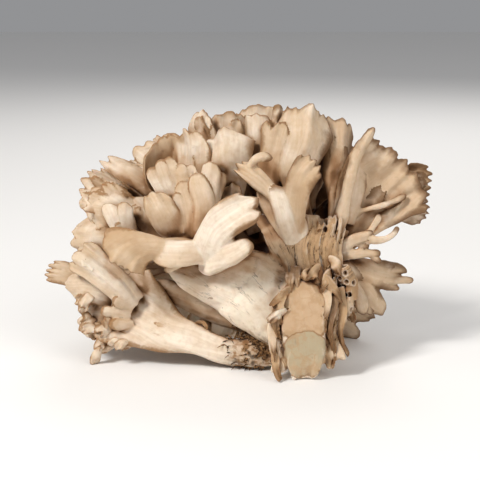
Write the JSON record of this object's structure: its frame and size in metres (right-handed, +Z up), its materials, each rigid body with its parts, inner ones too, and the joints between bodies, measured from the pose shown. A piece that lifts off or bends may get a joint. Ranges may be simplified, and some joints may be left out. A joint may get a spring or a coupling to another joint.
{
  "type": "maitake mushroom",
  "caption": "Picked maitake cluster lying on its side: a cut branching stem with fan-shaped, wavy-edged caps that overlap like a rosette.",
  "frame": {"origin": "middle of the cluster's box, on the surface it lies on", "axes": "+X to the cluster's right along its width, -Y to the cut end of the stem, +Z up from the surface"},
  "size_m": [0.1975, 0.1396, 0.1302],
  "materials": {
    "stem_flesh": "matte fibrous flesh, ivory to tan, browned where it was bruised and cut",
    "cap_flesh": "matte; cream and finely porous below, grey-brown with fine radial streaks above, thin brown edges"
  },
  "bodies": {
    "root": {"stem_base": "stem_flesh", "frond_front": "cap_flesh", "frond_left_fan": "cap_flesh", "frond_fingers": "cap_flesh", "frond_low_left": "cap_flesh", "frond_left_outer": "cap_flesh", "frond_upper_left": "cap_flesh", "frond_crown_mid": "cap_flesh", "frond_crown_left": "cap_flesh", "frond_crown_right": "cap_flesh", "frond_antler": "cap_flesh", "frond_right_fan": "cap_flesh", "frond_low_right": "cap_flesh", "frond_back_1": "cap_flesh", "frond_back_2": "cap_flesh", "frond_back_3": "cap_flesh", "frond_back_4": "cap_flesh", "frond_back_5": "cap_flesh", "frond_back_6": "cap_flesh", "frond_back_heart": "cap_flesh"}
  },
  "joints": []
}
